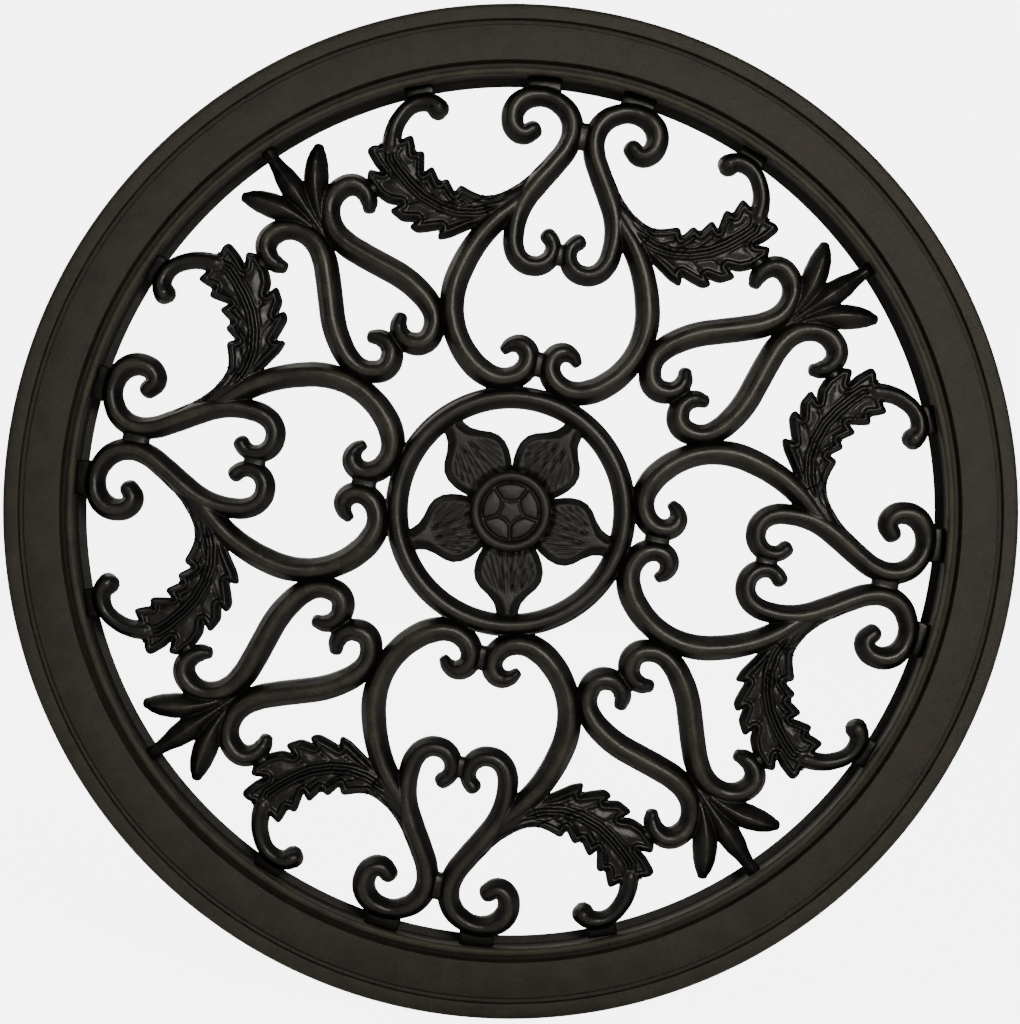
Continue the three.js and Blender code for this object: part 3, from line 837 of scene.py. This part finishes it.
# %% Coated casting
def coated_casting(name, coat, rubbed, rub_from, rub_to, roughness, grain_mm, grain,
                   swell):
    """rub_from, rub_to: depths where the wear starts and is full; grain, swell in mm."""
    material = bpy.data.materials.new(name)
    material.use_nodes = True
    tree = material.node_tree
    tree.nodes.clear()
    place = add(tree, "ShaderNodeTexCoord").outputs["Object"]
    height = add(tree, "ShaderNodeSeparateXYZ", {"Vector": place}).outputs["Y"]
    cloud = add(tree, "ShaderNodeTexNoise", {
        "Vector": place, "Scale": waves_per_metre(CLOUD_MM),
        "Detail": 4.0, "Roughness": 0.6})
    speck = add(tree, "ShaderNodeTexNoise", {
        "Vector": place, "Scale": waves_per_metre(SPECK_MM),
        "Detail": 3.0, "Roughness": 0.65})
    crown = add(tree, "ShaderNodeMapRange", {
        "Value": height, "From Min": rub_from, "From Max": rub_to,
        "To Min": 0.0, "To Max": 1.0}, interpolation_type="SMOOTHSTEP")
    patch = add(tree, "ShaderNodeMapRange", {
        "Value": cloud.outputs["Fac"], "From Min": 0.36, "From Max": 0.66,
        "To Min": 0.25, "To Max": 1.0})
    fleck = add(tree, "ShaderNodeMapRange", {
        "Value": speck.outputs["Fac"], "From Min": 0.35, "From Max": 0.7,
        "To Min": 0.45, "To Max": 1.0})
    patchy = add(tree, "ShaderNodeMath", {
        0: crown.outputs["Result"], 1: patch.outputs["Result"]}, operation="MULTIPLY")
    worn = add(tree, "ShaderNodeMath", {
        0: patchy.outputs[0], 1: fleck.outputs["Result"]}, operation="MULTIPLY")
    colour = add(tree, "ShaderNodeMix", {
        "Factor": worn.outputs[0], MIX_COLOUR_A: linear(coat),
        MIX_COLOUR_B: linear(rubbed)}, data_type="RGBA")
    sheen = add(tree, "ShaderNodeMapRange", {
        "Value": cloud.outputs["Fac"], "From Min": 0.3, "From Max": 0.7,
        "To Min": roughness - 0.05, "To Max": roughness + 0.07})
    peel = add(tree, "ShaderNodeTexNoise", {
        "Vector": place, "Scale": waves_per_metre(grain_mm),
        "Detail": 5.0, "Roughness": 0.75})
    low = add(tree, "ShaderNodeTexNoise", {
        "Vector": place, "Scale": waves_per_metre(SWELL_MM),
        "Detail": 2.0, "Roughness": 0.5})
    sand = add(tree, "ShaderNodeBump", {
        "Height": peel.outputs["Fac"], "Strength": 1.0, "Distance": grain * MM})
    wave = add(tree, "ShaderNodeBump", {
        "Height": low.outputs["Fac"], "Strength": 1.0, "Distance": swell * MM,
        "Normal": sand.outputs["Normal"]})
    shader = add(tree, "ShaderNodeBsdfPrincipled", {
        "Base Color": colour.outputs[MIX_COLOUR_OUT],
        "Roughness": sheen.outputs["Result"],
        "Normal": wave.outputs["Normal"]})
    shader.inputs["IOR"].default_value = ENAMEL_IOR
    shader.inputs["Specular IOR Level"].default_value = ENAMEL_SPECULAR
    shader.inputs["Metallic"].default_value = 0.0
    add(tree, "ShaderNodeOutputMaterial", {"Surface": shader.outputs["BSDF"]})
    return material


# %% The three coats
# The ring's grain is coarser and deeper, and stands for its pebbled field.
scroll_black = coated_casting(
    "satin black enamel on cast scrollwork", coat="#080706", rubbed="#39352a",
    rub_from=BACK_Y - 7.6 * MM, rub_to=BACK_Y - 9.6 * MM,
    roughness=0.34, grain_mm=0.9, grain=0.12, swell=0.2)
ring_black = coated_casting(
    "satin black enamel on cast ring", coat="#14120c", rubbed="#3f3a2b",
    rub_from=SEAT_Y - 1.0 * MM, rub_to=BEAD_Y - 1.0 * MM,
    roughness=0.47, grain_mm=1.3, grain=0.5, swell=0.02)
petal_black = coated_casting(
    "satin black enamel on cast flower", coat="#0a0907", rubbed="#2a271e",
    rub_from=BACK_Y - 4.6 * MM, rub_to=BACK_Y - 7.2 * MM,
    roughness=0.38, grain_mm=0.8, grain=0.25, swell=0.2)


def coat_with(piece, material):
    piece.data.materials.clear()
    piece.data.materials.append(material)
    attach(piece, "root")


coat_with(face_ring, ring_black)
for piece in scroll_pieces + [hub_ring]:
    coat_with(piece, scroll_black)
for piece in petals + [boss_casting]:
    coat_with(piece, petal_black)
print("coats:", [coat.name for coat in (scroll_black, ring_black, petal_black)])

# %% [markdown]
# ## Floor, light and camera
# The panel stands on a pale floor in an open white studio, with nothing close behind it,
# so that its back can be looked at too. The camera faces it squarely. A black coat
# mirrors a bright room along every edge that is seen at a low angle, and thin bars then
# look thinner still. So the backdrop and the floor are bright only for rays that come
# straight from the camera, which Light Path tells, while the panel is lit by a dim room
# and four soft lamps. The price is that no shadow of the panel shows on the floor.

# %% Floor
FLOOR_SIZE = 12
FLOOR_GLOW = 5.6
WHITE = (1, 1, 1, 1)
bpy.ops.object.select_all(action="DESELECT")
bpy.ops.mesh.primitive_plane_add(size=FLOOR_SIZE, location=(0, 0, box_of_cad[0][2]))
floor = bpy.context.object
floor.name = "floor"
floor_paint = bpy.data.materials.new("matt white studio floor")
floor_paint.use_nodes = True
paint = floor_paint.node_tree
matt = paint.nodes["Principled BSDF"]
matt.inputs["Base Color"].default_value = linear("#f4f3f1")
matt.inputs["Roughness"].default_value = 0.9
matt.inputs["Emission Color"].default_value = WHITE


def bright_for_camera(tree, others, camera, socket):
    """Gives a socket one strength for the camera's own rays and another for the rest."""
    seen = add(tree, "ShaderNodeLightPath").outputs["Is Camera Ray"]
    strength = add(tree, "ShaderNodeMapRange", {
        "Value": seen, "To Min": others, "To Max": camera})
    tree.links.new(strength.outputs["Result"], socket)


bright_for_camera(paint, 0.0, FLOOR_GLOW, matt.inputs["Emission Strength"])
floor.data.materials.append(floor_paint)
print("floor at z", round(box_of_cad[0][2] / MM, 1), "mm")

# %% Room
ROOM_LIGHT = 0.16
BACKDROP_LIGHT = 6.0
world = bpy.data.worlds.new("studio")
bpy.context.scene.world = world
world.use_nodes = True
backdrop = world.node_tree.nodes["Background"]
backdrop.inputs["Color"].default_value = WHITE
bright_for_camera(world.node_tree, ROOM_LIGHT, BACKDROP_LIGHT,
                  backdrop.inputs["Strength"])
print("room", ROOM_LIGHT, "backdrop", BACKDROP_LIGHT)

# %% Lamps
LAMP_COLOUR = (1.0, 0.95, 0.86)


def soft_light(name, place, size, power):
    """A square lamp, metres on a side and watts, that faces the panel's middle."""
    bpy.ops.object.light_add(type="AREA", location=place)
    lamp = bpy.context.object
    lamp.name = name
    lamp.data.size = size
    lamp.data.energy = power
    lamp.data.color = LAMP_COLOUR
    lamp.rotation_euler = (-Vector(place)).to_track_quat("-Z", "Y").to_euler()
    print(name, "lamp:", size, "m,", power, "W")


soft_light("key", (0.5, -1.6, 0.5), size=0.40, power=19)
soft_light("low", (0.9, -1.4, -0.6), size=0.40, power=8)
soft_light("fill", (-1.3, -1.4, 0.9), size=0.8, power=2.5)
soft_light("behind", (-0.9, 1.9, 1.3), size=2.6, power=34)

# %% Camera
# The lens takes in SEEN_W at the level of the ring's field.
CAMERA_AWAY = 0.82
CAMERA_X = -0.33 * MM
CAMERA_Z = -0.4 * MM
FACE_Y = -5.5 * MM
SEEN_W = 0.561
SENSOR_W = 36
bpy.ops.object.camera_add(location=(CAMERA_X, -CAMERA_AWAY, CAMERA_Z),
                          rotation=(math.radians(90), 0, 0))
camera = bpy.context.object
camera.data.sensor_fit = "HORIZONTAL"
camera.data.sensor_width = SENSOR_W
camera.data.lens = SENSOR_W * (CAMERA_AWAY + FACE_Y) / SEEN_W
bpy.context.scene.camera = camera
print("lens", round(camera.data.lens, 2), "mm")
